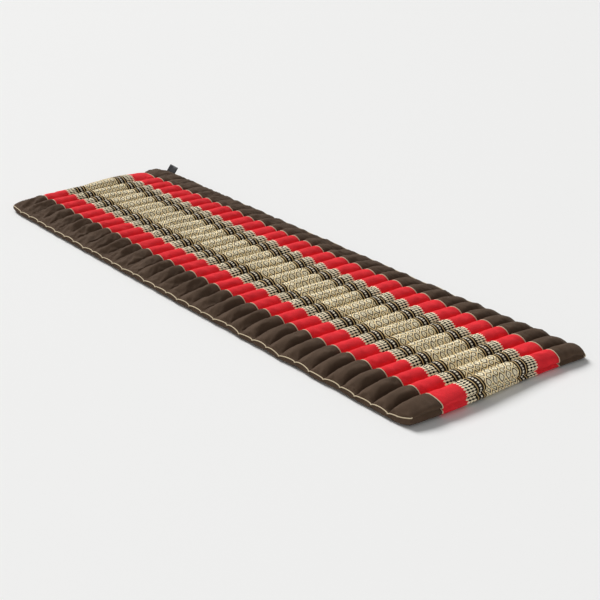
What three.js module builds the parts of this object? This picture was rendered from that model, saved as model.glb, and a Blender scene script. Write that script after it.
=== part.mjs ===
// A roll-up floor mat of woven cotton, filled with kapok in 33 sewn rolls. It lies flat, face up.
//
// Units are millimetres and +Z is up. +X runs along the mat and +Y across it. The origin is on the
// floor under the middle of the mat. The label is at the far end, on the back edge (-X, +Y).
//
// A maker cuts one patterned centre panel and two plain side panels, joins them with a piping in
// each seam, closes both long edges over a second pair of pipings, sews across the mat to make the
// channels, and fills each channel.

import * as THREE from "three";
import { mergeVertices } from "three/addons/utils/BufferGeometryUtils.js";

// Driving dimensions of the mat
const ROLLS = 33;
const ROLL_PITCH = 57.2; // from one cross seam to the next
const MAT_WIDTH = 610; // edge seam to edge seam
const MAT_THICKNESS = 46; // floor to the crest of the fullest roll
const CENTRE_WIDTH = 404; // the patterned panel, between its two piped seams
const PIPING_RADIUS = 1.5;
const GAP = 0.3; // between pieces that touch

const HALF_LENGTH = (ROLLS * ROLL_PITCH) / 2;
const HALF_WIDTH = MAT_WIDTH / 2;
const PIPED_SEAM = CENTRE_WIDTH / 2; // distance of a piped seam from the centre line

// A roll's section, along the mat
const SEAM_TOP = 17; // upper side of the cloth where a cross seam pinches it, on the centre line
const SEAM_TOP_RISE = 4; // how much deeper that is at the front piped seam, and shallower at the back one
const SEAM_BOTTOM = 8; // lower side of the cloth there
const SEAM_SHIFT = 3; // how far the cross seams lie towards the near end from even spacing
const LIP = 1; // half the thickness of the cloth in a closing seam
const FULLNESS = 2.2; // superellipse power of a roll's top: 2 is round, more is squarer
const ROLL_STEPS = 6; // stations along each roll, equal turns of 180 degrees
const FLAT_FROM = THREE.MathUtils.degToRad(60); // the turn at which a roll's underside meets the floor
const END_FLAT_FROM = THREE.MathUtils.degToRad(30); // the same turn, beside the seam of a short end

// The seam that closes each short end. The filling twists it: on the front of the near end and the
// back of the far end it lies further out and higher, and across from there nearer in and lower.
const END_SEAM_HEIGHT = 18;
const END_TILT = 7; // how much higher or lower that twist takes it
const END_OUT = 9; // how far beyond the evenly spaced cross seams it lies
const END_SKEW = 10; // how much further out or in that twist takes it
const SKEW_SPAN = 160; // distance from the centre line where the twist is greatest

// The rounding of the rolls towards the long edges
const TAPER_START = 210; // distance from the centre line where a roll begins to fall to its edge
const TAPER_POWER_FRONT = 1.8; // superellipse power of that fall
const TAPER_POWER_BACK = 1.5;
const TAPER_START_BELOW = 285; // where the underside begins to rise to the edge
const TAPER_POWER_BELOW = 2.3;
const SIDE_PLACES = [235, 270, 295.6]; // distances of the sections of a side panel between its seams
const EDGE_HEIGHT = 12; // the edge seam where a cross seam meets it
const EDGE_RISE = 3; // how much higher the edge seam is at the middle of a roll
const EDGE_DRAW = 4; // how far a roll's filling draws the edge in
const EDGE_BOW = 5; // how far both long edges bow towards the front at mid-length, from the end rolls
const CORNER_DRAW = 14; // how far the end rolls draw the four corners in

// The unevenness of a hand-filled mat
const CREST_SPREAD = 1.5; // a crest lies up to twice this below the fullest one
const SEAM_SPREAD = 1.6; // a cross seam strays by up to this
const NEAREST_TURN = 2.4; // radians from one roll to the next in the two waves of unevenness
const WIDER_TURN = 0.9;

// Label
const LABEL = {
  width: 38,
  height: 27,
  cloth: 0.8, // thickness of the woven tape it is folded from
  lean: THREE.MathUtils.degToRad(35), // outwards from upright
};

const CLOTH = { roughness: 0.9, metalness: 0 };
const CENTRE_CLOTH = new THREE.MeshStandardMaterial({ color: 0xc4262c, ...CLOTH });
const SIDE_CLOTH = new THREE.MeshStandardMaterial({ color: 0x4d3f34, ...CLOTH });
const PIPING_CLOTH = new THREE.MeshStandardMaterial({ color: 0xdccbab, ...CLOTH });
const LABEL_CLOTH = new THREE.MeshStandardMaterial({ color: 0x26262b, roughness: 0.7, metalness: 0 });

// A number from -1 to 1 that changes from roll to roll without repeating
function unevenness(i, phase) {
  return 0.6 * Math.sin(NEAREST_TURN * i + phase) + 0.4 * Math.sin(WIDER_TURN * i + 2 * phase);
}

// Where cross seam i lies along the mat. Seams 0 and ROLLS are the two ends.
function seamX(i) {
  const stray = i === 0 || i === ROLLS ? 0 : SEAM_SHIFT + SEAM_SPREAD * unevenness(i, 1);
  return -HALF_LENGTH + i * ROLL_PITCH + stray;
}

// How far out and how high the end seam lies, at a place y across the far end (-1) or near end (1)
function endSeam(end, y) {
  const twist = -end * Math.sin((Math.PI / 2) * (y / SKEW_SPAN));
  return { out: END_OUT + END_SKEW * twist, height: END_SEAM_HEIGHT + END_TILT * twist };
}

// One station along the mat, at a turn over roll i from its far seam (0) to its near seam (pi). The
// outer halves of the first and last roll run out to the end seams: end is -1 or 1 there.
function stationOf(i, turn) {
  const across = -Math.cos(turn);
  const up = turn === Math.PI ? 0 : Math.sin(turn);
  const middle = (seamX(i) + seamX(i + 1)) / 2;
  const half = (seamX(i + 1) - seamX(i)) / 2;
  const reach = Math.abs(across) ** (2 / FULLNESS);
  const end = i === 0 && across < 0 ? -1 : i === ROLLS - 1 && across > 0 ? 1 : 0;
  return {
    end,
    up,
    reach,
    x: middle + half * Math.sign(across) * reach,
    crest: MAT_THICKNESS - CREST_SPREAD * (1 - unevenness(i, 0.5)),
    rise: up ** (2 / FULLNESS), // of the top, from the seam's height to the crest's
    hang: Math.max(0, 1 - up / Math.sin(end ? END_FLAT_FROM : FLAT_FROM)), // of the underside, above the floor
  };
}

const stations = [stationOf(0, 0)];
for (let i = 0; i < ROLLS; i++) {
  for (let k = 1; k <= ROLL_STEPS; k++) stations.push(stationOf(i, (Math.PI * k) / ROLL_STEPS));
}

// The upper or lower cloth of a station at a place y, before the rounding towards the long edges
function levelPoint(station, y, isUpper) {
  const { end, reach, crest, rise, hang } = station;
  const x = station.x + end * reach * endSeam(end, y).out;
  const crossSeam = isUpper ? SEAM_TOP + SEAM_TOP_RISE * THREE.MathUtils.clamp(y / PIPED_SEAM, -1, 1) : SEAM_BOTTOM;
  const foot = end ? endSeam(end, y).height + (isUpper ? LIP : -LIP) : crossSeam;
  return new THREE.Vector3(x, y, isUpper ? foot + (crest - foot) * rise : foot * hang);
}

// The seam of the front (-1) or back (1) long edge, at a station
function edgeSeam(station, side) {
  const { end, up, reach } = station;
  const bow = EDGE_BOW * Math.max(0, 1 - (station.x / (HALF_LENGTH - ROLL_PITCH)) ** 2);
  const y = side * (HALF_WIDTH - EDGE_DRAW * up - CORNER_DRAW * Math.abs(end) * reach ** 2) - bow;
  const low = end ? endSeam(end, y).height : EDGE_HEIGHT;
  return new THREE.Vector3(levelPoint(station, y, true).x, y, low + (EDGE_HEIGHT + EDGE_RISE - low) * up);
}

// The upper or lower cloth of a station at a place y: level as far as the rounding, then falling or
// rising to the edge seam. A side panel is drawn in evenly between its inner seam and its edge.
function clothPoint(station, y, isUpper) {
  const side = Math.sign(y);
  const distance = Math.abs(y);
  const seam = edgeSeam(station, side);
  const taperStart = isUpper ? TAPER_START : TAPER_START_BELOW;
  const power = isUpper ? (side < 0 ? TAPER_POWER_FRONT : TAPER_POWER_BACK) : TAPER_POWER_BELOW;
  const outward = Math.max(0, (distance - taperStart) / (HALF_WIDTH - taperStart));
  const fullness = (1 - outward ** power) ** (1 / power);
  const inner = PIPED_SEAM + GAP / 2;
  const drawn = Math.max(0, distance - inner) * ((Math.abs(seam.y) - inner) / (HALF_WIDTH - inner));
  const point = levelPoint(station, side * (Math.min(distance, inner) + drawn), isUpper);
  const rim = seam.z + (isUpper ? LIP : -LIP);
  point.z = rim + (point.z - rim) * fullness;
  return point;
}

// One filled panel of the mat, between an upper and a lower cloth, from a list of places across it
function filledPanel(name, material, places) {
  const columns = places.length;
  const sheet = (isUpper) => stations.flatMap((station) => places.map((y) => clothPoint(station, y, isUpper)));
  const points = [...sheet(true), ...sheet(false)];
  const upper = (i, j) => i * columns + j;
  const lower = (i, j) => stations.length * columns + upper(i, j);
  const faces = [];
  const quad = (a, b, c, d) => faces.push(a, b, c, a, c, d);
  const lastStation = stations.length - 1;
  const lastPlace = columns - 1;
  for (let i = 0; i < lastStation; i++) {
    for (let j = 0; j < lastPlace; j++) {
      quad(upper(i, j), upper(i + 1, j), upper(i + 1, j + 1), upper(i, j + 1));
      quad(lower(i, j), lower(i, j + 1), lower(i + 1, j + 1), lower(i + 1, j));
    }
    quad(lower(i, 0), lower(i + 1, 0), upper(i + 1, 0), upper(i, 0));
    quad(upper(i, lastPlace), upper(i + 1, lastPlace), lower(i + 1, lastPlace), lower(i, lastPlace));
  }
  for (let j = 0; j < lastPlace; j++) {
    quad(upper(0, j), upper(0, j + 1), lower(0, j + 1), lower(0, j));
    quad(lower(lastStation, j), lower(lastStation, j + 1), upper(lastStation, j + 1), upper(lastStation, j));
  }
  const geometry = new THREE.BufferGeometry().setFromPoints(points).setIndex(faces);
  return named(name, geometry, material);
}

// The patterned panel is level right across, and bends with the twist of its ends
const CENTRE_PLACE = 75;

function centrePanel() {
  const edge = PIPED_SEAM - GAP / 2;
  return filledPanel("centre_panel", CENTRE_CLOTH, [-edge, -CENTRE_PLACE, CENTRE_PLACE, edge]);
}

function sidePanel(name, side) {
  const places = [PIPED_SEAM + GAP / 2, ...SIDE_PLACES, HALF_WIDTH].map((distance) => side * distance);
  if (side < 0) places.reverse();
  return filledPanel(name, SIDE_CLOTH, places);
}

// A piping is a cord in a folded strip of cloth. Its section is a square that stands on its corner,
// and it is swept through given points, one section at each.
const PIPING_SECTION = new THREE.Shape(
  [0, 1, 2, 3].map((k) => {
    const turn = (k * Math.PI) / 2;
    return new THREE.Vector2(PIPING_RADIUS * Math.cos(turn), PIPING_RADIUS * Math.sin(turn));
  }),
);

class LineThrough extends THREE.Curve {
  constructor(points) {
    super();
    this.points = points;
  }
  getPointAt(share) {
    return this.points[Math.round(share * (this.points.length - 1))].clone();
  }
  getTangentAt(share) {
    const i = Math.round(share * (this.points.length - 1));
    const before = this.points[Math.max(0, i - 1)];
    const after = this.points[Math.min(this.points.length - 1, i + 1)];
    const arriving = this.points[i].clone().sub(before).normalize();
    const leaving = after.clone().sub(this.points[i]).normalize();
    return arriving.add(leaving).normalize();
  }
}

function piping(name, points) {
  const geometry = new THREE.ExtrudeGeometry(PIPING_SECTION, {
    extrudePath: new LineThrough(points),
    steps: points.length - 1,
    bevelEnabled: false,
  });
  return named(name, geometry, PIPING_CLOTH);
}

// A line of points in a plane, moved to its left by a distance, corner for corner
function movedLeft(line, distance) {
  return line.map((point, i) => {
    const before = line[i - 1] ?? point;
    const after = line[i + 1] ?? point;
    const arriving = point.clone().sub(before).normalize();
    const leaving = after.clone().sub(point).normalize();
    const along = arriving.clone().add(leaving).normalize();
    const cosine = Math.max(along.dot(arriving), along.dot(leaving)); // of half the turn at this corner
    return new THREE.Vector2(-along.y, along.x).multiplyScalar(distance / cosine).add(point);
  });
}

// The piping in the seam between the centre panel and a side panel lies over every roll, dips into
// every cross seam, and turns down round both ends of the mat, nearly to the floor.
const PIPING_STOP = 0.7; // of the way to the floor from the end seam

function seamPiping(name, side) {
  const y = side * PIPED_SEAM;
  const section = (station, isUpper) => {
    const point = levelPoint(station, y, isUpper);
    return new THREE.Vector2(point.x, point.z);
  };
  const turnUnder = (end, next) => [
    section(end, false),
    section(end, false).lerp(section(next, false), PIPING_STOP),
  ];
  const line = [
    ...turnUnder(...stations.slice(0, 2)).reverse(),
    ...stations.map((station) => section(station, true)),
    ...turnUnder(...stations.slice(-2).reverse()),
  ];
  const points = movedLeft(line, PIPING_RADIUS + GAP).map((p) => new THREE.Vector3(p.x, y, p.y));
  return piping(name, points);
}

// The piping in a long edge's seam rises and draws in with each roll
function edgePiping(name, side) {
  const seam = stations.map((station) => edgeSeam(station, side));
  const line = seam.map((p) => new THREE.Vector2(p.x, side * p.y));
  const points = movedLeft(line, PIPING_RADIUS + GAP).map((p, i) => new THREE.Vector3(p.x, side * p.y, seam[i].z));
  return piping(name, points);
}

// A blank label of woven tape, folded over into a loop, caught in the back edge's seam beside the
// far corner and leaning out over the piping
function label() {
  const inner = GAP / 2;
  const outer = inner + LABEL.cloth;
  const fold = LABEL.height - outer;
  const section = new THREE.Shape();
  section.moveTo(-outer, 0);
  section.lineTo(-inner, 0);
  section.lineTo(-inner, fold);
  section.lineTo(inner, fold);
  section.lineTo(inner, 0);
  section.lineTo(outer, 0);
  section.lineTo(outer, fold);
  section.absarc(0, fold, outer, 0, Math.PI, false);
  section.closePath();
  const geometry = new THREE.ExtrudeGeometry(section, { depth: LABEL.width, curveSegments: 4, bevelEnabled: false });
  geometry.translate(0, 0, -LABEL.width / 2).rotateY(Math.PI / 2).rotateX(Math.PI / 2);
  geometry.rotateX(-LABEL.lean);
  const mesh = named("label", geometry, LABEL_CLOTH);
  const seam = stations.slice(0, 4).map((station) => edgeSeam(station, 1)); // from the corner to the roll's middle
  const middle = seam[2];
  const seamUnderIt = (seam[0].z + seam[1].z) / 2; // where the seam is highest under the label
  const lowCorner = { y: outer * Math.cos(LABEL.lean), z: -outer * Math.sin(LABEL.lean) };
  mesh.rotation.z = Math.atan2(seam[3].y - seam[1].y, seam[3].x - seam[1].x);
  mesh.position.x = middle.x;
  mesh.position.y = middle.y + PIPING_RADIUS + GAP - lowCorner.y;
  mesh.position.z = seamUnderIt + PIPING_RADIUS + GAP - lowCorner.z;
  return mesh;
}

function named(name, geometry, material) {
  geometry.deleteAttribute("uv");
  geometry.deleteAttribute("normal");
  const merged = mergeVertices(geometry, 1e-4);
  merged.computeVertexNormals();
  const mesh = new THREE.Mesh(merged, material);
  mesh.name = name;
  return mesh;
}

const mat = new THREE.Group();
mat.add(
  centrePanel(),
  sidePanel("side_panel_front", -1),
  sidePanel("side_panel_back", 1),
  seamPiping("seam_piping_front", -1),
  seamPiping("seam_piping_back", 1),
  edgePiping("edge_piping_front", -1),
  edgePiping("edge_piping_back", 1),
  label(),
);

export default mat;
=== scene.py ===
import math

import bmesh
import bpy
from mathutils import Matrix, Vector, noise


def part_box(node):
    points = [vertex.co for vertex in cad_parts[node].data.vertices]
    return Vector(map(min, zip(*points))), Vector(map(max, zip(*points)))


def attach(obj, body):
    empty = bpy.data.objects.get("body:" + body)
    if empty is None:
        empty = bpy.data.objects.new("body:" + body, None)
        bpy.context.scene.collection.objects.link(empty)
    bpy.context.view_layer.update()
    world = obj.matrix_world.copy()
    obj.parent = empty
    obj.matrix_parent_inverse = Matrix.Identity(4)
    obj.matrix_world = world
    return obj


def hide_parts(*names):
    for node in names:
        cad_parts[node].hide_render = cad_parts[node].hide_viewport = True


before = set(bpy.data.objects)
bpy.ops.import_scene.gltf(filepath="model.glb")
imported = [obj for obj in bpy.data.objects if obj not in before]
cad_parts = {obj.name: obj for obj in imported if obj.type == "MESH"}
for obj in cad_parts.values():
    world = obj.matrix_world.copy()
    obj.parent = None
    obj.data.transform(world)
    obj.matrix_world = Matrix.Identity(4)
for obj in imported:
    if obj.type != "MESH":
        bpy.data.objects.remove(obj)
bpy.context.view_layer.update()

# Camera
# It stands off the near front corner and looks along and across the mat.
CAMERA_PLACE = (2.975, -2.171, 1.447)
CAMERA_AZIMUTH = math.radians(52.2)
CAMERA_ELEVATION = math.radians(22.49)
CAMERA_LENS = 83.2

camera_data = bpy.data.cameras.new("camera")
camera_data.lens = CAMERA_LENS
camera = bpy.data.objects.new("camera", camera_data)
camera.location = CAMERA_PLACE
camera.rotation_euler = (math.pi / 2 - CAMERA_ELEVATION, 0, CAMERA_AZIMUTH)
bpy.context.collection.objects.link(camera)
bpy.context.scene.camera = camera
bpy.context.scene.view_settings.view_transform = "Standard"

# Centre panel
# One length of woven cotton from end to end of the mat, red at both sides with a cream and brown
# pattern along the middle. Cross seams sew it to the cloth below, and kapok fills the rolls between.
MM = 0.001
ROLLS = 33
ROLL_PITCH = 57.2 * MM
HALF_RUN = ROLLS * ROLL_PITCH / 2
THICKNESS = 46 * MM
FULLNESS = 1.9
TURNS_TO_A_ROLL = 20
COLUMNS = ROLLS * TURNS_TO_A_ROLL
CENTRE_ROWS = 72
CENTRE_ROW_CROWDING = 0.3
CENTRE_SLACK = (0.015, 0.012)
CENTRE_PRESSURE = 3
CENTRE_WRINKLES = (0.7 * MM, 0.5 * MM)

piped_seam = (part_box("centre_panel")[1].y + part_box("side_panel_back")[0].y) / 2
half_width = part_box("side_panel_back")[1].y

# Two waves along the mat make the rolls uneven: the share of each, its turn from one roll to the
# next, and how far a phase shifts it.
ROLL_WAVES = ((0.6, 2.4, 1), (0.4, 0.9, 2))


def unevenness(roll, phase):
    """From -1 to 1, changing from roll to roll."""
    return sum(share * math.sin(turn * roll + shift * phase) for share, turn, shift in ROLL_WAVES)


# Cross seams. They are low at the front, and a slow noise across the mat sways them.
SEAM_TOP = 17 * MM
SEAM_TOP_RISE = 4 * MM
SEAM_BOTTOM = 8 * MM
SEAM_SHIFT = 5 * MM
SEAM_SPREAD = 1.6 * MM
SEAM_PHASE = 1
SEAM_SWAY = 2.4 * MM
SWAY_STEP = 3.7
SWAY_LAYER = 5
LUMP_LENGTH = 110 * MM


def cross_seam_x(seam, y):
    """Where a cross seam lies at a place y across the mat. The two ends are straight here."""
    x = -HALF_RUN + seam * ROLL_PITCH
    if seam in (0, ROLLS):
        return x
    sway = noise.noise(Vector((SWAY_STEP * seam, y / LUMP_LENGTH, SWAY_LAYER)))
    return x + SEAM_SHIFT + SEAM_SPREAD * unevenness(seam, SEAM_PHASE) + SEAM_SWAY * sway


# End seams. The filling twists them, and they are pinched in below rolls that bulge past them.
END_SEAM_HEIGHT = {-1: 18 * MM, 1: 16.5 * MM}
END_TILT = {-1: 7 * MM, 1: 6 * MM}
END_OUT = 5 * MM
END_SKEW = 10 * MM
SKEW_SPAN = 160 * MM
END_PINCH = 4.5 * MM
END_BULGE = 7 * MM
END_BULGE_BELOW = 6 * MM


def end_seam(end, y):
    """How far out and how high the seam of an end lies."""
    twist = -end * math.sin(math.pi / 2 * y / SKEW_SPAN)
    return END_OUT + END_SKEW * twist, END_SEAM_HEIGHT[end] + END_TILT[end] * twist


def end_beside(roll, turn):
    """-1 over the far half of the first roll, 1 over the near half of the last one, and else 0."""
    if roll == 0 and turn < math.pi / 2:
        return -1
    return 1 if roll == ROLLS - 1 and turn > math.pi / 2 else 0


# Crests. They are lower at the back, most of all far away, and dip beside the pipings.
CREST_SPREAD = 1.5 * MM
CREST_PHASE = 0.5
CREST_LUMPS = 2.5 * MM
LUMP_STEP = 2.3
LUMP_START = 11
FAR_ROLL_DROP = 3 * MM
FAR_ROLLS = 8
BACK_DROP_FAR = 5 * MM
BACK_DROP_NEAR = 2 * MM
PIPED_SEAM_DIP = 3.2 * MM
PIPED_SEAM_DIP_WIDTH = 6 * MM


def crest_height(roll, y):
    """How high the crest of a roll is at a place y across the mat."""
    lump = noise.noise(Vector((LUMP_STEP * roll + LUMP_START, y / LUMP_LENGTH, 0)))
    crest = THICKNESS - CREST_SPREAD * (1 - unevenness(roll, CREST_PHASE)) + CREST_LUMPS * lump
    if roll == 0:
        crest -= FAR_ROLL_DROP
    back_drop = BACK_DROP_FAR * max(0.0, 1 - roll / FAR_ROLLS) + BACK_DROP_NEAR * roll / (ROLLS - 1)
    crest -= back_drop * max(0.0, y) / piped_seam
    beside_piping = (abs(y) - piped_seam) / PIPED_SEAM_DIP_WIDTH
    return crest - PIPED_SEAM_DIP * math.exp(-beside_piping * beside_piping)


# Below, a roll rests flat on the floor from a turn onwards, and from there hangs up to its seam.
FLAT_FROM = {-1: math.radians(46), 0: math.radians(60), 1: math.radians(46)}
HANG_POWER = 1.3


def hump(share):
    """0 at both ends of a stretch, and 1 halfway."""
    return 4 * share * (1 - share)


def on_roll(roll, turn, y, is_upper):
    """The cloth of a roll, at a turn from its far seam (0) to its near seam (pi)."""
    up = math.sin(turn)
    reach = abs(math.cos(turn)) ** (2 / FULLNESS)
    start = cross_seam_x(roll, y)
    stop = cross_seam_x(roll + 1, y)
    x = (start + stop) / 2 - (stop - start) / 2 * math.copysign(reach, math.cos(turn))
    foot = SEAM_TOP + SEAM_TOP_RISE * max(-1, min(1, y / piped_seam)) if is_upper else SEAM_BOTTOM
    end = end_beside(roll, turn)
    if end:
        out, foot = end_seam(end, y)
        x += end * reach * out
    if end and turn in (0, math.pi):
        x -= end * END_PINCH * (1 - max(0.0, abs(y) - piped_seam) / (half_width - piped_seam))
    if is_upper:
        x += end * END_BULGE * hump(up)
        return x, y, foot + (crest_height(roll, y) - foot) * up ** (2 / FULLNESS)
    hang = (1 - min(1, up / math.sin(FLAT_FROM[end]))) ** HANG_POWER
    x += end * END_BULGE_BELOW * hump(hang)
    return x, y, foot * hang


def roll_and_turn(column):
    roll = min(column // TURNS_TO_A_ROLL, ROLLS - 1)
    return roll, math.pi * (column - roll * TURNS_TO_A_ROLL) / TURNS_TO_A_ROLL


def cloth_lengths(is_upper):
    """How far along the cloth each turn of the rolls is, from the far end."""
    lengths = [0.0]
    last = on_roll(0, 0, 0, is_upper)
    for column in range(1, COLUMNS + 1):
        place = on_roll(*roll_and_turn(column), 0, is_upper)
        lengths.append(lengths[-1] + math.dist(place, last))
        last = place
    return lengths


def add_cloth(shape, rows, row_y, place, is_upper):
    """Adds the upper or lower cloth of a panel as a grid. row_y gives the distance of a row from a
    share of the width, and place the point of (roll, turn, y, is_upper). Returns (roll, turn, y) of
    each vertex."""
    cloth_uv = shape.loops.layers.uv.get("cloth") or shape.loops.layers.uv.new("cloth")
    lengths = cloth_lengths(is_upper)
    verts = bmesh.ops.create_grid(shape, x_segments=COLUMNS, y_segments=rows, size=1)["verts"]
    spots = {}
    uv_of = {}
    for vert in verts:
        column = round((vert.co.x + 1) / 2 * COLUMNS)
        y = row_y((vert.co.y + 1) / 2)
        roll, turn = roll_and_turn(column)
        spots[vert] = (roll, turn, y)
        uv_of[vert] = (lengths[column], y)
        vert.co = place(roll, turn, y, is_upper)
    for face in {face for vert in verts for face in vert.link_faces}:
        for loop in face.loops:
            loop[cloth_uv].uv = uv_of[loop.vert]
    return spots


def piece_from(name, shape):
    mesh = bpy.data.meshes.new(name)
    shape.to_mesh(mesh)
    shape.free()
    mesh.shade_smooth()
    piece = bpy.data.objects.new(name, mesh)
    bpy.context.collection.objects.link(piece)
    return piece


# The kapok swells the upper cloth between its seams, which are held: a cloth simulation. The cloth
# is cut larger than its bed, so it puckers along the seams. No point may move past the cap or over
# a seam.
SWELL_FRAMES = 18
SWELL_CAP = 7 * MM
SEAM_CLEARANCE = 0.4 * MM
MERGE = 0.01 * MM
CLOTH_SETTINGS = {
    "quality": 5,
    "mass": 0.2,
    "air_damping": 2,
    "tension_stiffness": 20,
    "compression_stiffness": 20,
    "shear_stiffness": 8,
    "bending_stiffness": 0.15,
    "pin_stiffness": 1,
    "use_pressure": True,
}


def swell(cloth, spots, seam_rows, slack, pressure):
    """Swells a cloth. slack is the share by which it is larger than its bed, at the far end and at
    the near end."""
    held = cloth.vertex_groups.new(name="held")
    nearness = cloth.vertex_groups.new(name="nearness")
    start = [vert.co.copy() for vert in cloth.data.vertices]
    for index, (roll, turn, y) in enumerate(spots):
        nearness.add([index], roll / (ROLLS - 1), "REPLACE")
        if turn in (0, math.pi) or y in seam_rows:
            held.add([index], 1, "REPLACE")
    modifier = cloth.modifiers.new("swelling", "CLOTH")
    for key, value in CLOTH_SETTINGS.items():
        setattr(modifier.settings, key, value)
    modifier.settings.vertex_group_mass = held.name
    modifier.settings.vertex_group_shrink = nearness.name
    modifier.settings.shrink_min = -slack[0]
    modifier.settings.shrink_max = -slack[1]
    modifier.settings.uniform_pressure_force = pressure
    modifier.settings.effector_weights.gravity = 0
    modifier.collision_settings.use_collision = False
    modifier.collision_settings.use_self_collision = False
    modifier.point_cache.frame_start = 1
    modifier.point_cache.frame_end = SWELL_FRAMES
    for step in range(1, SWELL_FRAMES + 1):
        bpy.context.scene.frame_set(step)
    swollen = cloth.evaluated_get(bpy.context.evaluated_depsgraph_get())
    places = [vert.co.copy() for vert in swollen.data.vertices]
    cloth.modifiers.remove(modifier)
    bpy.context.scene.frame_set(1)
    for vert, place, origin, (roll, turn, y) in zip(cloth.data.vertices, places, start, spots):
        moved = place - origin
        if moved.length > SWELL_CAP:
            moved *= SWELL_CAP / moved.length
        vert.co = origin + moved
        if roll > 0:
            vert.co.x = max(vert.co.x, min(origin.x, cross_seam_x(roll, y) + SEAM_CLEARANCE))
        if roll < ROLLS - 1:
            vert.co.x = min(vert.co.x, max(origin.x, cross_seam_x(roll + 1, y) - SEAM_CLEARANCE))


# Fine wrinkles run across the rolls at a slant. They are deepest at the far end, and fade out at
# the seams.
WRINKLE_WIDTH = 13 * MM
WRINKLE_LENGTH = 90 * MM
WRINKLE_SLANT = 60 * MM
WRINKLE_FADE = 12 * MM
WRINKLE_LAYER = 9


def wrinkle(cloth, spots, seam_rows, depth):
    """Wrinkles a cloth between its seams. depth is how deep at the far end and at the near end."""
    for vert, (roll, turn, y) in zip(cloth.data.vertices, spots):
        crosswise = vert.co.x / WRINKLE_WIDTH + y / WRINKLE_SLANT
        rise = noise.noise(Vector((crosswise, y / WRINKLE_LENGTH, WRINKLE_LAYER)))
        deep = depth[0] + (depth[1] - depth[0]) * roll / (ROLLS - 1)
        from_seam = min(abs(y - row) for row in seam_rows)
        vert.co.z += deep * rise * math.sin(turn) * min(1, from_seam / WRINKLE_FADE)


def filled_panel(name, rows, row_y, walls, place, slack, pressure, wrinkles):
    """A closed shell of a swollen upper cloth and a flat lower cloth over all the rolls. walls are
    the places across the mat where the two are joined by a wall, and elsewhere they meet."""
    shape = bmesh.new()
    spots = add_cloth(shape, rows, row_y, place, True)
    shape.verts.ensure_lookup_table()
    spots = [spots[vert] for vert in shape.verts]
    panel = piece_from(name, shape)
    seam_rows = (row_y(0), row_y(1))
    swell(panel, spots, seam_rows, slack, pressure)
    wrinkle(panel, spots, seam_rows, wrinkles)
    shell = bmesh.new()
    shell.from_mesh(panel.data)
    below = add_cloth(shell, rows, row_y, place, False)
    bmesh.ops.reverse_faces(shell, faces=list({face for vert in below for face in vert.link_faces}))
    for wall in walls:
        rim = [
            edge
            for edge in shell.edges
            if edge.is_boundary and all(abs(vert.co.y - wall) < MERGE for vert in edge.verts)
        ]
        bmesh.ops.bridge_loops(shell, edges=rim)
    bmesh.ops.remove_doubles(shell, verts=shell.verts, dist=MERGE)
    bmesh.ops.recalc_face_normals(shell, faces=shell.faces)
    if shell.calc_volume(signed=True) < 0:
        bmesh.ops.reverse_faces(shell, faces=shell.faces)
    shell.to_mesh(panel.data)
    shell.free()
    panel.data.shade_smooth()
    panel.vertex_groups.clear()
    return panel


def centre_row_y(share):
    """The rows are closest beside the pipings."""
    even = 2 * share - 1
    crowded = math.sin(even * math.pi / 2)
    return piped_seam * ((1 - CENTRE_ROW_CROWDING) * even + CENTRE_ROW_CROWDING * crowded)


centre_panel = filled_panel(
    "centre_rolls",
    CENTRE_ROWS,
    centre_row_y,
    (-piped_seam, piped_seam),
    on_roll,
    CENTRE_SLACK,
    CENTRE_PRESSURE,
    CENTRE_WRINKLES,
)


def linear(hex_colour):
    """An sRGB hex colour as linear RGBA."""
    channels = [int(hex_colour[k : k + 2], 16) / 255 for k in (1, 3, 5)]
    return [c / 12.92 if c <= 0.04045 else ((c + 0.055) / 1.055) ** 2.4 for c in channels] + [1]


def add(tree, kind, inputs=None, **settings):
    """Adds a node. inputs maps its sockets to values or to the sockets that feed them."""
    node = tree.nodes.new(kind)
    for key, value in settings.items():
        setattr(node, key, value)
    for key, value in (inputs or {}).items():
        if isinstance(value, bpy.types.NodeSocket):
            tree.links.new(value, node.inputs[key])
        else:
            node.inputs[key].default_value = value
    return node


def new_material(name):
    material = bpy.data.materials.new(name)
    material.use_nodes = True
    material.node_tree.nodes.clear()
    return material, material.node_tree


MATH = "ShaderNodeMath"

# A Mix node of two colours, with the numbers of its sockets
MIX = "ShaderNodeMix"
SHARE, UNDER, OVER, MIXED = 0, 6, 7, 2

# Woven cotton with a supplementary weft pattern: matt, with the threads' ribs and slubs.
# The pattern has its centre line a little behind the mat's own.
PATTERN_SHIFT = 1.5 * MM
CREAM_HALF = 59 * MM
BAND_OUTER = 94 * MM
TAN_LINE = 2.1 * MM
TAN_LINE_INSET = 5.4 * MM
TOOTH_COLUMNS = 3
TOOTH_WIDTH = 11 * MM
CREAM = "#fde1a6"
DARK = "#1c110c"
TAN = "#e4c48a"
RED = "#ee2f38"

woven, tree = new_material("patterned woven cotton")
cloth = add(tree, "ShaderNodeUVMap", uv_map="cloth").outputs[0]
cloth = add(tree, "ShaderNodeSeparateXYZ", {0: cloth})
along = cloth.outputs[0]
across = add(tree, MATH, {0: cloth.outputs[1], 1: PATTERN_SHIFT}, operation="SUBTRACT").outputs[0]
from_middle = add(tree, MATH, {0: across}, operation="ABSOLUTE").outputs[0]

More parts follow.
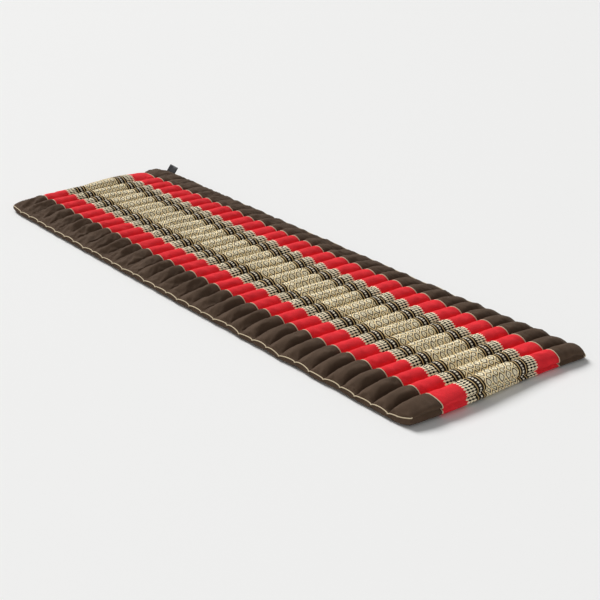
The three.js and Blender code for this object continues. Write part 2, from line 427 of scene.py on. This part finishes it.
# Stripes along the mat, from the middle outwards. The ramp runs over the first fifth of a metre,
# and the outermost dark ends under the middle of the last column of teeth.
RAMP_LENGTH = 200 * MM
STRIPES = [
    (0, CREAM),
    (CREAM_HALF, DARK),
    (CREAM_HALF + TAN_LINE_INSET, TAN),
    (CREAM_HALF + TAN_LINE_INSET + TAN_LINE, DARK),
    (BAND_OUTER - TAN_LINE_INSET - TAN_LINE, TAN),
    (BAND_OUTER - TAN_LINE_INSET, DARK),
    (BAND_OUTER + (TOOTH_COLUMNS - 0.5) * TOOTH_WIDTH, RED),
]
ramp_place = add(tree, MATH, {0: from_middle, 1: RAMP_LENGTH}, operation="DIVIDE").outputs[0]
stripes = add(tree, "ShaderNodeValToRGB", {0: ramp_place})
stripes.color_ramp.interpolation = "CONSTANT"
elements = stripes.color_ramp.elements
elements.remove(elements[1])
for k, (start, colour) in enumerate(STRIPES):
    element = elements[0] if k == 0 else elements.new(start / RAMP_LENGTH)
    element.position = start / RAMP_LENGTH
    element.color = linear(colour)
colour = stripes.outputs[0]

# Teeth: columns of cream lozenges, over the dark and the edge of the red
TOOTH_PITCH = 7.2 * MM
TOOTH_NARROWING = 0.68
TOOTH_FILL = 0.87
TOOTH_CREAM = "#fff1cf"
half_tooth = TOOTH_WIDTH / 2
half_teeth = TOOTH_COLUMNS * half_tooth
aside = add(tree, MATH, {0: from_middle, 1: BAND_OUTER + half_tooth}, operation="SUBTRACT").outputs[0]
aside = add(tree, MATH, {0: aside, 1: half_tooth}, operation="PINGPONG").outputs[0]
aside = add(tree, MATH, {0: aside, 1: half_tooth}, operation="DIVIDE").outputs[0]
onward = add(tree, MATH, {0: along, 1: TOOTH_PITCH / 2}, operation="PINGPONG").outputs[0]
onward = add(tree, MATH, {0: onward, 1: TOOTH_PITCH / 2}, operation="DIVIDE").outputs[0]
lozenge = add(tree, MATH, {0: aside, 1: TOOTH_NARROWING, 2: onward}, operation="MULTIPLY_ADD").outputs[0]
tooth = add(tree, MATH, {0: lozenge, 1: TOOTH_FILL}, operation="LESS_THAN").outputs[0]
teeth = {0: from_middle, 1: BAND_OUTER + half_teeth, 2: half_teeth}
in_teeth = add(tree, MATH, teeth, operation="COMPARE").outputs[0]
tooth = add(tree, MATH, {0: tooth, 1: in_teeth}, operation="MULTIPLY").outputs[0]
paint = {SHARE: tooth, UNDER: colour, OVER: linear(TOOTH_CREAM)}
colour = add(tree, MIX, paint, data_type="RGBA").outputs[MIXED]

# Square dots along the middle of each dark band
DOT_PITCH = 8.2 * MM
DOT_WIDTH = 5.2 * MM
DOT_WHITE = "#fff4dc"
dots = {0: from_middle, 1: (CREAM_HALF + BAND_OUTER) / 2, 2: DOT_WIDTH / 2}
in_dots = add(tree, MATH, dots, operation="COMPARE").outputs[0]
onward = add(tree, MATH, {0: along, 1: DOT_PITCH / 2}, operation="PINGPONG").outputs[0]
dot = add(tree, MATH, {0: onward, 1: DOT_WIDTH / 2}, operation="LESS_THAN").outputs[0]
dot = add(tree, MATH, {0: in_dots, 1: dot}, operation="MULTIPLY").outputs[0]
paint = {SHARE: dot, UNDER: colour, OVER: linear(DOT_WHITE)}
colour = add(tree, MIX, paint, data_type="RGBA").outputs[MIXED]

# Eyes: rows of five pale, dark-outlined eyes across the cream, each with a small dark pupil, and
# rows of smaller ones between them, half a step aside, parted by a pale net. An eye is half
# lozenge and half oval, and its rim, white and pupil end at these sums of the two.
EYE_PITCH = 23.2 * MM
ROW_PITCH = 30 * MM
LARGE_EYE = (8.6 * MM, 12.4 * MM, 0.0)
SMALL_EYE = (7 * MM, 8.6 * MM, 0.5)
RIM_END = 2.05
WHITE_END = 1.42
PUPIL_END = 0.28
CREAM_MARGIN = 0.5 * MM
NET_LINE = 0.11
PALE_CREAM = "#fff3d2"
OUTLINE = "#3d240c"
cream = {0: from_middle, 1: CREAM_HALF - CREAM_MARGIN}
in_cream = add(tree, MATH, cream, operation="LESS_THAN").outputs[0]
aside = add(tree, MATH, {0: across, 1: EYE_PITCH / 2}, operation="PINGPONG").outputs[0]
aside = add(tree, MATH, {0: aside, 1: EYE_PITCH / 2}, operation="DIVIDE").outputs[0]
onward = add(tree, MATH, {0: along, 1: ROW_PITCH / 2}, operation="PINGPONG").outputs[0]
onward = add(tree, MATH, {0: onward, 1: ROW_PITCH / 2}, operation="DIVIDE").outputs[0]
net = add(tree, MATH, {0: aside, 1: onward}, operation="ADD").outputs[0]
net = add(tree, MATH, {0: net, 1: 1, 2: NET_LINE}, operation="COMPARE").outputs[0]
net = add(tree, MATH, {0: net, 1: in_cream}, operation="MULTIPLY").outputs[0]
paint = {SHARE: net, UNDER: colour, OVER: linear(PALE_CREAM)}
colour = add(tree, MIX, paint, data_type="RGBA").outputs[MIXED]
for half_eye, half_eye_height, step in (LARGE_EYE, SMALL_EYE):
    aside = add(tree, MATH, {0: across, 1: step * EYE_PITCH}, operation="ADD").outputs[0]
    repeat = {0: aside, 1: EYE_PITCH / 2, 2: -EYE_PITCH / 2}
    aside = add(tree, MATH, repeat, operation="WRAP").outputs[0]
    aside = add(tree, MATH, {0: aside, 1: half_eye}, operation="DIVIDE").outputs[0]
    aside = add(tree, MATH, {0: aside}, operation="ABSOLUTE").outputs[0]
    onward = add(tree, MATH, {0: along, 1: step * ROW_PITCH}, operation="ADD").outputs[0]
    repeat = {0: onward, 1: ROW_PITCH / 2, 2: -ROW_PITCH / 2}
    onward = add(tree, MATH, repeat, operation="WRAP").outputs[0]
    onward = add(tree, MATH, {0: onward, 1: half_eye_height}, operation="DIVIDE").outputs[0]
    onward = add(tree, MATH, {0: onward}, operation="ABSOLUTE").outputs[0]
    lozenge = add(tree, MATH, {0: aside, 1: onward}, operation="ADD").outputs[0]
    oval = add(tree, "ShaderNodeCombineXYZ", {0: aside, 1: onward}).outputs[0]
    oval = add(tree, "ShaderNodeVectorMath", {0: oval}, operation="LENGTH").outputs["Value"]
    eye = add(tree, MATH, {0: oval, 1: lozenge}, operation="ADD").outputs[0]
    for limit, yarn in ((RIM_END, OUTLINE), (WHITE_END, PALE_CREAM), (PUPIL_END, OUTLINE)):
        inside = add(tree, MATH, {0: eye, 1: limit}, operation="LESS_THAN").outputs[0]
        inside = add(tree, MATH, {0: inside, 1: in_cream}, operation="MULTIPLY").outputs[0]
        paint = {SHARE: inside, UNDER: colour, OVER: linear(yarn)}
        colour = add(tree, MIX, paint, data_type="RGBA").outputs[MIXED]

# The threads are some 0.5 to 0.6 mm apart, and their ribs are drawn twice as coarse, or they would
# not show. A wave of scale 1 repeats every tenth of pi metres. The dye varies in patches of about
# 26 mm, and the yarn in flecks of about 2 mm.
WAVE_REPEAT = math.pi / 10
WARP_RIB = 1.208 * MM
WEFT_RIB = 1.047 * MM
THREAD_RELIEF = 0.4 * MM
DYE_PATCH = 26.3 * MM
FLECK = 2 * MM

# Noise lies mostly within the first range. It becomes a shade within the second.
UNEVEN_DYE = {"From Min": 0.3, "From Max": 0.7, "To Min": 0.9, "To Max": 1.1}


def cotton(tree, colour):
    """Finishes a cotton: its threads, slubs and uneven dye over a colour, and its matt sheen."""
    cloth = add(tree, "ShaderNodeUVMap", uv_map="cloth").outputs[0]
    slubs = {"Vector": cloth, "Distortion": 1.5, "Detail": 2}
    warp = {**slubs, "Scale": WAVE_REPEAT / WARP_RIB}
    warp = add(tree, "ShaderNodeTexWave", warp, bands_direction="X").outputs[1]
    weft = {**slubs, "Scale": WAVE_REPEAT / WEFT_RIB}
    weft = add(tree, "ShaderNodeTexWave", weft, bands_direction="Y").outputs[1]
    threads = add(tree, MATH, {0: warp, 1: weft}, operation="ADD").outputs[0]
    dye = {"Vector": cloth, "Scale": 1 / DYE_PATCH, "Detail": 4}
    dye = add(tree, "ShaderNodeTexNoise", dye).outputs[0]
    dye = add(tree, "ShaderNodeMapRange", {"Value": dye, **UNEVEN_DYE}).outputs[0]
    fleck = {"Vector": cloth, "Scale": 1 / FLECK, "Detail": 2}
    fleck = add(tree, "ShaderNodeTexNoise", fleck).outputs[0]
    fleck = add(tree, "ShaderNodeMapRange", {"Value": fleck, **UNEVEN_DYE}).outputs[0]
    shade = add(tree, MATH, {0: dye, 1: fleck}, operation="MULTIPLY").outputs[0]
    shade = add(tree, "ShaderNodeCombineXYZ", {0: shade, 1: shade, 2: shade}).outputs[0]
    paint = {SHARE: 1.0, UNDER: colour, OVER: shade}
    dyed = add(tree, MIX, paint, data_type="RGBA", blend_type="MULTIPLY").outputs[MIXED]
    relief = {"Strength": 0.35, "Distance": THREAD_RELIEF, "Height": threads}
    shader = add(
        tree,
        "ShaderNodeBsdfPrincipled",
        {
            "Base Color": dyed,
            "Roughness": 0.9,
            "Specular IOR Level": 0.1,
            "Sheen Weight": 0.03,
            "Sheen Roughness": 0.5,
            "Normal": add(tree, "ShaderNodeBump", relief).outputs[0],
        },
    )
    add(tree, "ShaderNodeOutputMaterial", {0: shader.outputs[0]})


cotton(tree, colour)
centre_panel.data.materials.append(woven)
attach(centre_panel, "root")
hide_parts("centre_panel")

# Side panels
# Plain dark brown cotton on both sides of the centre panel, filled through the same channels. Each
# roll falls and draws in to the piped seam of the long edge.
SIDE_ROWS = 32
SIDE_ROW_CROWDING = 0.4
SIDE_SLACK = (0.04, 0.02)
SIDE_PRESSURE = 2.5
SIDE_WRINKLES = (3.6 * MM, 1.5 * MM)

# The seam of a long edge rises and draws in with each roll, and wanders. It bows towards the front.
EDGE_HEIGHT = 14.5 * MM
EDGE_RISE = 3 * MM
EDGE_DRAW = 4 * MM
EDGE_BOW = 5 * MM
EDGE_WAVE = 3.2 * MM
EDGE_WAVE_LENGTH = 75 * MM
EDGE_WAVE_MIDDLE = 0.3
EDGE_WAVE_LAYER = 1
EDGE_LIFT = 4 * MM
EDGE_LIFT_LAYER = 7
EDGE_APART = 3
CORNER_DRAW = {-1: 8 * MM, 1: 14 * MM}
CORNER_DRAW_POWER = 2
CORNER_RISE_POWER = 1.5
NEAR_CORNER_TWIST = 6 * MM


def edge_seam(roll, turn, side):
    """The seam of a long edge over a roll."""
    up = math.sin(turn)
    along = 2 * (roll + turn / math.pi) / ROLLS - 1
    distance = half_width - EDGE_DRAW * up - side * EDGE_BOW * (1 - along**2)
    level = EDGE_HEIGHT + EDGE_RISE * up
    end = end_beside(roll, turn)
    if end:
        toward_corner = abs(math.cos(turn)) ** (2 / FULLNESS)
        distance -= CORNER_DRAW[end] * toward_corner**CORNER_DRAW_POWER
        corner = end_seam(end, side * distance)[1]
        if end == 1:
            corner -= side * NEAR_CORNER_TWIST
        level += (corner - EDGE_HEIGHT) * toward_corner**CORNER_RISE_POWER
    x = on_roll(roll, turn, side * distance, True)[0]
    wander = noise.noise(Vector((x / EDGE_WAVE_LENGTH, EDGE_APART * side, EDGE_WAVE_LAYER)))
    lift = noise.noise(Vector((x / EDGE_WAVE_LENGTH, EDGE_APART * side, EDGE_LIFT_LAYER)))
    y = side * (distance + EDGE_WAVE * (wander - EDGE_WAVE_MIDDLE))
    return x, y, level + EDGE_LIFT * lift


# The rolls taper to that seam, later at the front and later still at the near end. Their cross
# seams rise beside the piping, except at the near end, and their flanks bulge over the floor.
TAPER_START = 210 * MM
TAPER_START_BELOW = 292 * MM
TAPER_POWER = {-1: 1.8, 1: 1.5}
TAPER_POWER_BELOW = 2.2
NEAR_TAPER_POWER = 2.4
NEAR_TAPER_ONSET = 8
CREASE_LIFT = 16 * MM
CREASE_LIFT_RUN = 25 * MM
CREASE_LIFT_ONSET = 1.5
CREASE_POWER = 2
FLANK_BULGE = 16 * MM
FLANK_BULGE_AT_SEAM = 0.6
FLANK_POWER = 2


def side_place(roll, turn, y, is_upper):
    """The cloth of a side panel, as on_roll gives that of the centre panel."""
    side = math.copysign(1, y)
    distance = abs(y)
    seam = edge_seam(roll, turn, side)
    if distance > half_width - MERGE:
        return seam
    nearness = roll / (ROLLS - 1)
    is_upper = is_upper or (roll, turn) in ((0, 0), (ROLLS - 1, math.pi))
    taper_start = TAPER_START if is_upper else TAPER_START_BELOW
    power = TAPER_POWER[side] if is_upper else TAPER_POWER_BELOW
    power += (NEAR_TAPER_POWER - power) * nearness**NEAR_TAPER_ONSET
    outward = min(1, max(0.0, (distance - taper_start) / (half_width - taper_start)))
    fullness = (1 - outward**power) ** (1 / power)
    drawn = (distance - piped_seam) * (abs(seam[1]) - piped_seam) / (half_width - piped_seam)
    x, drawn_y, level = on_roll(roll, turn, side * (piped_seam + drawn), is_upper)
    if is_upper:
        shallow = CREASE_LIFT * (1 - nearness**CREASE_LIFT_ONSET)
        shallow *= min(1, (distance - piped_seam) / CREASE_LIFT_RUN)
        level += shallow * (1 - math.sin(turn)) ** CREASE_POWER
    else:
        between_seams = FLANK_BULGE_AT_SEAM + (1 - FLANK_BULGE_AT_SEAM) * math.sin(turn)
        drawn_y += side * FLANK_BULGE * between_seams * fullness * outward**FLANK_POWER
        x = seam[0] + (x - seam[0]) * fullness
    return x, drawn_y, seam[2] + (level - seam[2]) * fullness


def side_row_y(share):
    """The rows are closest beside the long edge."""
    crowded = math.sin(share * math.pi / 2)
    outward = (1 - SIDE_ROW_CROWDING) * share + SIDE_ROW_CROWDING * crowded
    return piped_seam + (half_width - piped_seam) * outward


# The same weave, dyed a plain brown: matt and a little mottled, with slubs
BROWN = "#584638"
plain, tree = new_material("plain brown cotton")
cotton(tree, linear(BROWN))

for name, side in (("front", -1), ("back", 1)):
    panel = filled_panel(
        f"side_rolls_{name}",
        SIDE_ROWS,
        lambda share: side * side_row_y(share),
        (side * piped_seam,),
        side_place,
        SIDE_SLACK,
        SIDE_PRESSURE,
        SIDE_WRINKLES,
    )
    panel.data.materials.append(plain)
    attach(panel, "root")
    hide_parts(f"side_panel_{name}")

# Pipings
# A cord in a folded strip of cream cotton, caught in each of the four long seams. Two lie in the
# seams beside the centre panel and turn down over both ends, and two run along the edges.
PIPING_RADIUS = 1.25 * MM
PIPING_SINK = 0.3 * MM
PIPING_TURNS_BELOW = 2


def seam_line(y):
    """Points along the seam beside the centre panel, from under one end to under the other."""

    def points(columns, is_upper):
        return [Vector(on_roll(*roll_and_turn(column), y, is_upper)) for column in columns]

    below_first = range(PIPING_TURNS_BELOW, 0, -1)
    below_last = range(COLUMNS - 1, COLUMNS - 1 - PIPING_TURNS_BELOW, -1)
    return points(below_first, False) + points(range(COLUMNS + 1), True) + points(below_last, False)


def moved_out(points, plane_axis, distance):
    """A line of points moved sideways in the plane across plane_axis."""
    moved = []
    for k, point in enumerate(points):
        before = points[max(0, k - 1)]
        after = points[min(len(points) - 1, k + 1)]
        sideways = plane_axis.cross(after - before).normalized()
        moved.append(point + sideways * distance)
    return moved


# Cotton cloth drawn tight over a cord: pale and matt, mottled by threads about 1.1 mm apart, which
# is twice as coarse as real ones, to show
PIPING_CREAM = "#e2cfae"
PIPING_THREAD = 1.11 * MM
PIPING_RELIEF = 0.3 * MM
PIPING_DYE = {"From Min": 0.3, "From Max": 0.7, "To Min": 0.85, "To Max": 1.05}

cream_cotton, tree = new_material("cream cotton piping")
place = add(tree, "ShaderNodeTexCoord").outputs["Object"]
ribs = {"Vector": place, "Scale": 1 / PIPING_THREAD, "Detail": 2}
ribs = add(tree, "ShaderNodeTexNoise", ribs).outputs[0]
shade = add(tree, "ShaderNodeMapRange", {"Value": ribs, **PIPING_DYE}).outputs[0]
shade = add(tree, "ShaderNodeCombineXYZ", {0: shade, 1: shade, 2: shade}).outputs[0]
paint = {SHARE: 1.0, UNDER: linear(PIPING_CREAM), OVER: shade}
dyed = add(tree, MIX, paint, data_type="RGBA", blend_type="MULTIPLY").outputs[MIXED]
relief = {"Strength": 0.3, "Distance": PIPING_RELIEF, "Height": ribs}
bump = add(tree, "ShaderNodeBump", relief).outputs[0]
shader = add(tree, "ShaderNodeBsdfPrincipled", {"Base Color": dyed, "Roughness": 0.85, "Normal": bump})
add(tree, "ShaderNodeOutputMaterial", {0: shader.outputs[0]})


def piping(name, points, node):
    """A closed cord along points, which stands for a node."""
    curve = bpy.data.curves.new(name, "CURVE")
    curve.dimensions = "3D"
    curve.bevel_depth = PIPING_RADIUS
    curve.bevel_resolution = 2
    curve.use_fill_caps = True
    spline = curve.splines.new("POLY")
    spline.points.add(len(points) - 1)
    for spot, point in zip(spline.points, points):
        spot.co = (*point, 1)
    drawn = bpy.data.objects.new(f"{name}_line", curve)
    bpy.context.collection.objects.link(drawn)
    bpy.context.view_layer.update()
    shape = bmesh.new()
    shape.from_mesh(bpy.data.meshes.new_from_object(drawn))
    bpy.data.objects.remove(drawn)
    bmesh.ops.remove_doubles(shape, verts=shape.verts, dist=MERGE)
    bmesh.ops.recalc_face_normals(shape, faces=shape.faces)
    piece = piece_from(name, shape)
    piece.data.materials.append(cream_cotton)
    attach(piece, "root")
    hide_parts(node)


for name, side in (("front", -1), ("back", 1)):
    line = moved_out(seam_line(side * piped_seam), Vector((0, -1, 0)), PIPING_RADIUS - PIPING_SINK)
    piping(f"cream_seam_piping_{name}", line, f"seam_piping_{name}")
    edge = [Vector(edge_seam(*roll_and_turn(column), side)) for column in range(COLUMNS + 1)]
    line = moved_out(edge, Vector((0, 0, side)), PIPING_RADIUS - PIPING_SINK)
    piping(f"cream_edge_piping_{name}", line, f"edge_piping_{name}")

# Label
# A bare piece of charcoal satin tape, folded double and caught in the back edge beside the far
# corner. It leans outwards and is a little askew and curled.
LABEL_WIDTH = 38 * MM
LABEL_HEIGHT = 27 * MM
LABEL_FOLD_RADIUS = 1.1 * MM
LABEL_LEAN = math.radians(35)
LABEL_SKEW = math.radians(10)
LABEL_YAW = math.radians(13)
LABEL_FOOT = 3 * MM
LABEL_SINK = 3 * MM
LABEL_CURL = 2.5 * MM
LABEL_THICKNESS = 0.6 * MM
LABEL_COLUMNS = 12
LABEL_ROWS = 26

label_low, label_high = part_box("label")
label_shape = bmesh.new()
tape_uv = label_shape.loops.layers.uv.new("cloth")
bmesh.ops.create_grid(label_shape, x_segments=LABEL_COLUMNS, y_segments=LABEL_ROWS, size=1)
straight = LABEL_HEIGHT - LABEL_FOLD_RADIUS
tape_length = 2 * straight + math.pi * LABEL_FOLD_RADIUS
tape_places = {}
for vert in label_shape.verts:
    across_tape = vert.co.x * LABEL_WIDTH / 2
    along_tape = (vert.co.y + 1) / 2 * tape_length
    tape_places[vert] = (across_tape, along_tape)
    if along_tape < straight:
        y, z = -LABEL_FOLD_RADIUS, along_tape
    elif along_tape > tape_length - straight:
        y, z = LABEL_FOLD_RADIUS, tape_length - along_tape
    else:
        turn = (along_tape - straight) / LABEL_FOLD_RADIUS
        y = -LABEL_FOLD_RADIUS * math.cos(turn)
        z = straight + LABEL_FOLD_RADIUS * math.sin(turn)
    y += LABEL_CURL * (z / LABEL_HEIGHT) ** 2 * math.cos(across_tape / LABEL_WIDTH * math.pi)
    vert.co = (across_tape, y, z)
for face in label_shape.faces:
    for loop in face.loops:
        loop[tape_uv].uv = tape_places[loop.vert]
for turn, axis in ((LABEL_SKEW, "Y"), (-LABEL_LEAN, "X"), (LABEL_YAW, "Z")):
    bmesh.ops.rotate(label_shape, verts=label_shape.verts, matrix=Matrix.Rotation(turn, 3, axis))
foot = Vector(((label_low.x + label_high.x) / 2, label_low.y + LABEL_FOOT, label_low.z - LABEL_SINK))
bmesh.ops.translate(label_shape, verts=label_shape.verts, vec=foot)
label = piece_from("folded_label", label_shape)
cloth_thickness = label.modifiers.new("thickness", "SOLIDIFY")
cloth_thickness.thickness = LABEL_THICKNESS
cloth_thickness.offset = 0

# Satin woven tape: smooth, with a low gloss and fine ribs across, 0.35 mm apart
CHARCOAL = "#1d1d22"
TAPE_RIB = 0.349 * MM
TAPE_RELIEF = 0.2 * MM

tape, tree = new_material("charcoal satin tape")
cloth = add(tree, "ShaderNodeUVMap", uv_map="cloth").outputs[0]
ribs = {"Vector": cloth, "Scale": WAVE_REPEAT / TAPE_RIB, "Distortion": 0.5}
ribs = add(tree, "ShaderNodeTexWave", ribs, bands_direction="Y").outputs[1]
relief = {"Strength": 0.3, "Distance": TAPE_RELIEF, "Height": ribs}
bump = add(tree, "ShaderNodeBump", relief).outputs[0]
tint = add(tree, "ShaderNodeMapRange", {"Value": ribs, "To Min": 0.85, "To Max": 1.1}).outputs[0]
tint = add(tree, "ShaderNodeCombineXYZ", {0: tint, 1: tint, 2: tint}).outputs[0]
paint = {SHARE: 1.0, UNDER: linear(CHARCOAL), OVER: tint}
dyed = add(tree, MIX, paint, data_type="RGBA", blend_type="MULTIPLY").outputs[MIXED]
shader = add(tree, "ShaderNodeBsdfPrincipled", {"Base Color": dyed, "Roughness": 0.5, "Normal": bump})
add(tree, "ShaderNodeOutputMaterial", {0: shader.outputs[0]})
label.data.materials.append(tape)
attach(label, "root")
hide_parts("label")

# Floor and light
# A plain pale sheet under the mat, a soft light from beyond its far end, a low and weak one from
# the camera's side, and an even pale sky.
FLOOR_HALF = 30
floor_shape = bmesh.new()
bmesh.ops.create_grid(floor_shape, x_segments=1, y_segments=1, size=FLOOR_HALF)
floor = piece_from("floor", floor_shape)

# Uncoated paper: pale and matt
PAPER = "#f3f3f2"
paper, tree = new_material("pale matt paper")
shader = add(tree, "ShaderNodeBsdfPrincipled", {"Base Color": linear(PAPER), "Roughness": 0.9})
add(tree, "ShaderNodeOutputMaterial", {0: shader.outputs[0]})
floor.data.materials.append(paper)

KEY = {"strength": 3.14, "spread": 26, "elevation": 40, "azimuth": 266}
FILL = {"strength": 0.6, "spread": 50, "elevation": 8, "azimuth": 62}
for name, light in (("key light", KEY), ("fill light", FILL)):
    sun_data = bpy.data.lights.new(name, "SUN")
    sun_data.energy = light["strength"]
    sun_data.angle = math.radians(light["spread"])
    sun = bpy.data.objects.new(name, sun_data)
    sun.rotation_euler = (math.radians(90 - light["elevation"]), 0, math.radians(light["azimuth"]))
    bpy.context.collection.objects.link(sun)

SKY_COLOUR = (1, 1, 1, 1)
SKY_STRENGTH = 0.27
world = bpy.data.worlds.new("studio")
world.use_nodes = True
sky = world.node_tree.nodes["Background"]
sky.inputs["Color"].default_value = SKY_COLOUR
sky.inputs["Strength"].default_value = SKY_STRENGTH
bpy.context.scene.world = world
